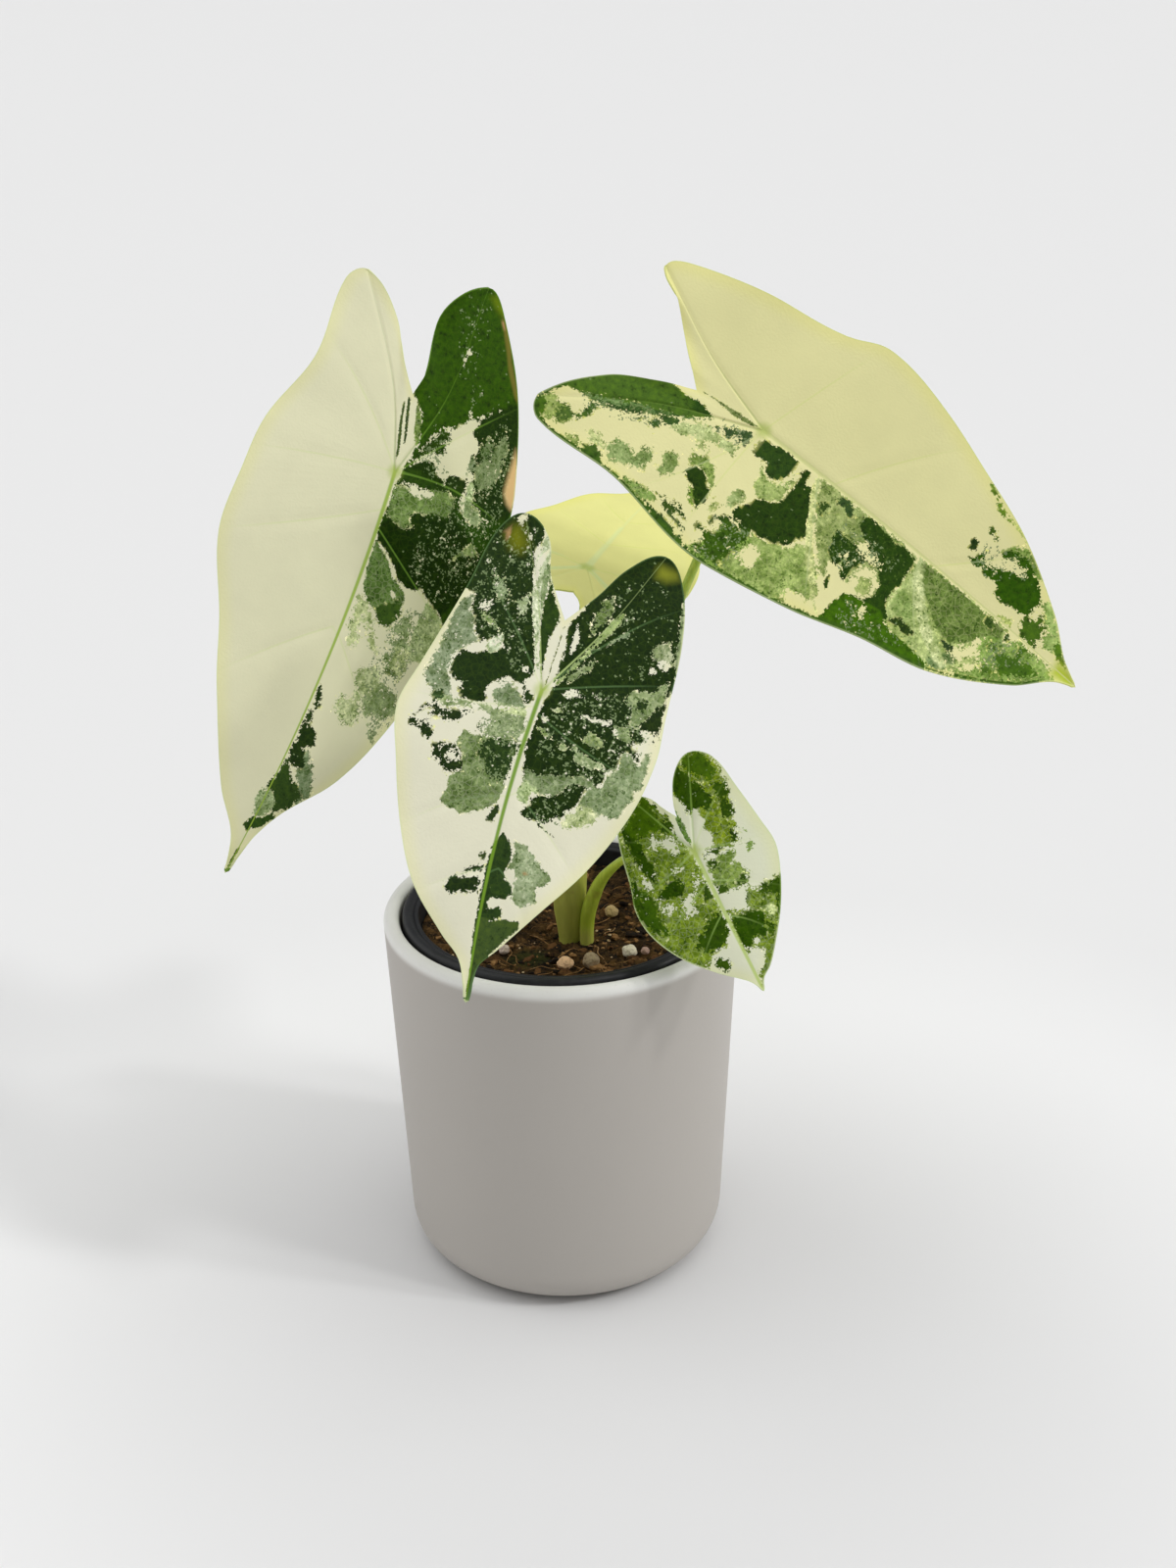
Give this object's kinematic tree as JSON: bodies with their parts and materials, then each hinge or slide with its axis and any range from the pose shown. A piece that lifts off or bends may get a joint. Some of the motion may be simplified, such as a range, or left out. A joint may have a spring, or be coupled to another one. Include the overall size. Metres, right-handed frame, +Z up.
{
  "type": "potted alocasia",
  "caption": "Young variegated alocasia with arrow-shaped cream, yellow and green leaves on slender stalks, in a dark nursery pot standing inside a matte ceramic pot.",
  "frame": {"origin": "centre of the ceramic pot's flat base, on the surface that it stands on", "axes": "+Z is up; the leaves' upper faces look towards -Y, which is the front; +X is to the right seen from the front"},
  "size_m": [0.307, 0.2362, 0.3771],
  "materials": {
    "ceramic": "matte warm grey ceramic with a lighter lip",
    "nursery_plastic": "satin charcoal moulded plastic",
    "soil": "loose dark coir and bark",
    "pumice": "rough cream pumice",
    "stalk": "satin green stem",
    "variegated_leaf": "satin leaf, cream and yellow with dark green and grey-green patches",
    "yellow_leaf": "satin yellow leaf with pale veins"
  },
  "bodies": {
    "root": {"cachepot": "ceramic", "nursery_pot": "nursery_plastic", "soil": "soil", "pumice_1": "pumice", "pumice_2": "pumice", "pumice_3": "pumice", "pumice_4": "pumice", "pumice_5": "pumice", "pumice_6": "pumice", "pumice_7": "pumice", "pumice_8": "pumice", "crown": "stalk", "stalk_left": "stalk", "stalk_right": "stalk", "stalk_front": "stalk", "stalk_small": "stalk", "stalk_yellow": "stalk", "leaf_left": "variegated_leaf", "leaf_right": "variegated_leaf", "leaf_front": "variegated_leaf", "leaf_small": "variegated_leaf", "leaf_yellow": "yellow_leaf"}
  },
  "joints": []
}
